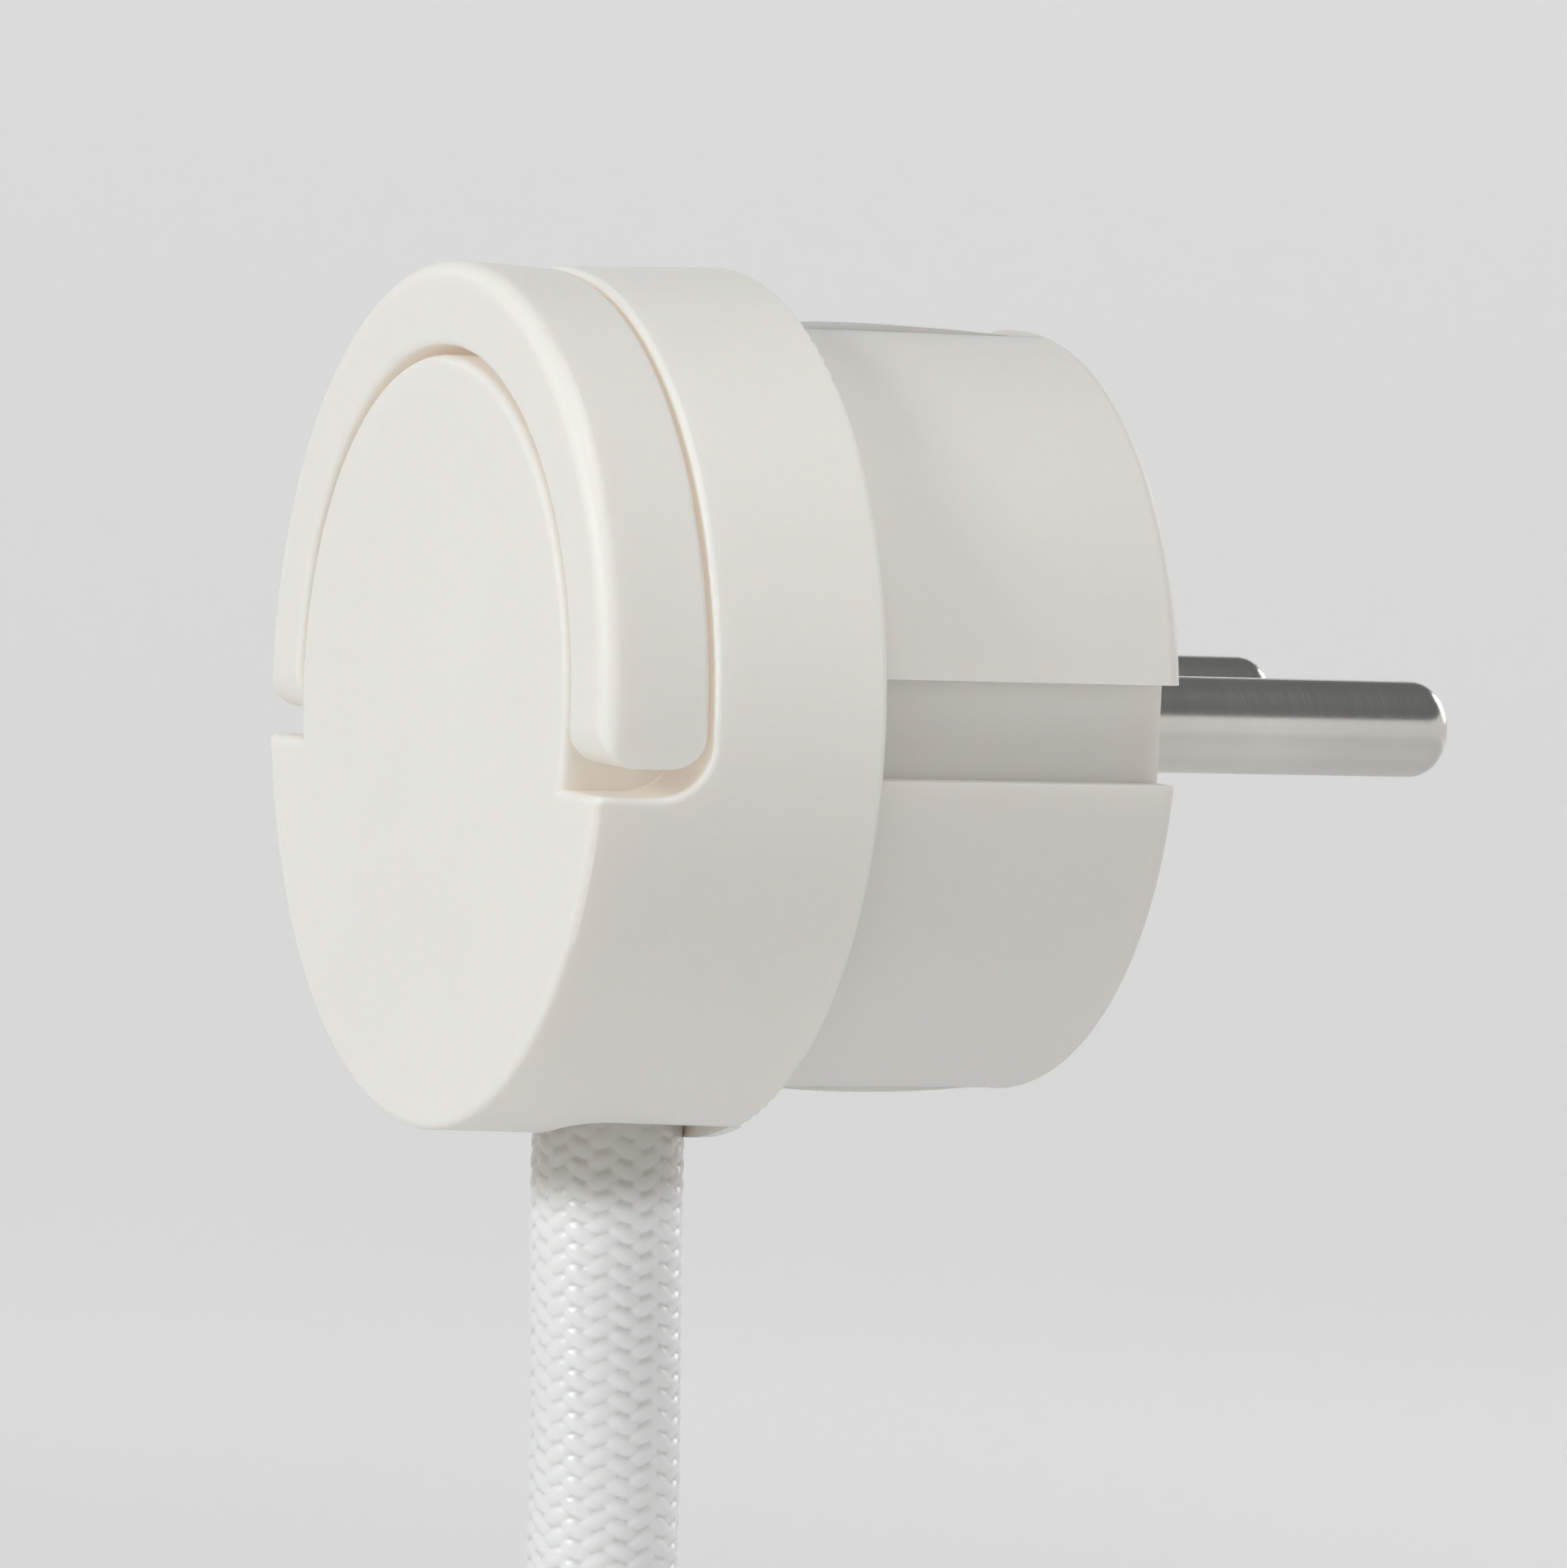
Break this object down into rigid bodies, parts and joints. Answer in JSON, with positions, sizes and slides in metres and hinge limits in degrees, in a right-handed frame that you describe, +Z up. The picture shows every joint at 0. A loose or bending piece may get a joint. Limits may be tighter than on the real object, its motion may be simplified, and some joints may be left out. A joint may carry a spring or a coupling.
{
  "type": "mains plug",
  "caption": "Flat round mains plug with a fold-out pull ring in its face, round contact pins, side earth contacts and a braided lead with an appliance connector.",
  "frame": {"origin": "centre of the engagement face, midway between the roots of the two contact pins", "axes": "+Y is the way the contact pins point, into the socket; -Y is the user's side with the pull ring; +Z is up; the lead leaves downwards"},
  "size_m": [0.1082, 0.0614, 0.2485],
  "materials": {
    "cap_plastic": "satin off-white moulding",
    "ring_plastic": "satin off-white moulding",
    "insert_plastic": "satin off-white moulding",
    "bridge_plastic": "moulded light grey",
    "pin_metal": "nickel-plated, polished",
    "strap_metal": "nickel-plated spring strip",
    "terminal_brass": "bare machined brass",
    "screw_steel": "zinc-plated",
    "hinge_steel": "ground steel",
    "bush_rubber": "soft light grey",
    "sheath_braid": "woven light grey braid with a slight sheen",
    "live_sheath": "smooth brown",
    "neutral_sheath": "smooth blue",
    "earth_sheath": "smooth green and yellow",
    "tie_fabric": "hook-and-loop tape",
    "connector_plastic": "moulded off-white",
    "nose_plastic": "moulded off-white",
    "contact_brass": "bright strip"
  },
  "bodies": {
    "plug": {"front_cap": "cap_plastic", "contact_insert": "insert_plastic", "contact_bridge": "bridge_plastic", "live_pin": "pin_metal", "neutral_pin": "pin_metal", "earth_strap": "strap_metal", "earth_terminal": "terminal_brass", "earth_socket": "pin_metal", "housing_screw": "screw_steel", "terminal_screws": "screw_steel", "clamp_bar": "bridge_plastic", "clamp_screws": "screw_steel", "cord_grommet": "bush_rubber", "live_core": "live_sheath", "neutral_core": "neutral_sheath", "earth_core": "earth_sheath", "cord": "sheath_braid", "cord_coil": "sheath_braid", "coil_tie": "tie_fabric", "cord_tail": "sheath_braid", "connector_relief": "connector_plastic", "connector_grip": "connector_plastic", "connector_nose": "nose_plastic", "connector_contacts": "contact_brass"},
    "ring": {"pull_ring": "ring_plastic", "hinge_pins": "hinge_steel"}
  },
  "joints": [
    {"name": "ring_fold", "type": "hinge", "parent": "plug", "child": "ring", "pos_m": [0, -0.0289, 0], "axis": [1, 0, 0], "range_deg": [0, 90]}
  ]
}
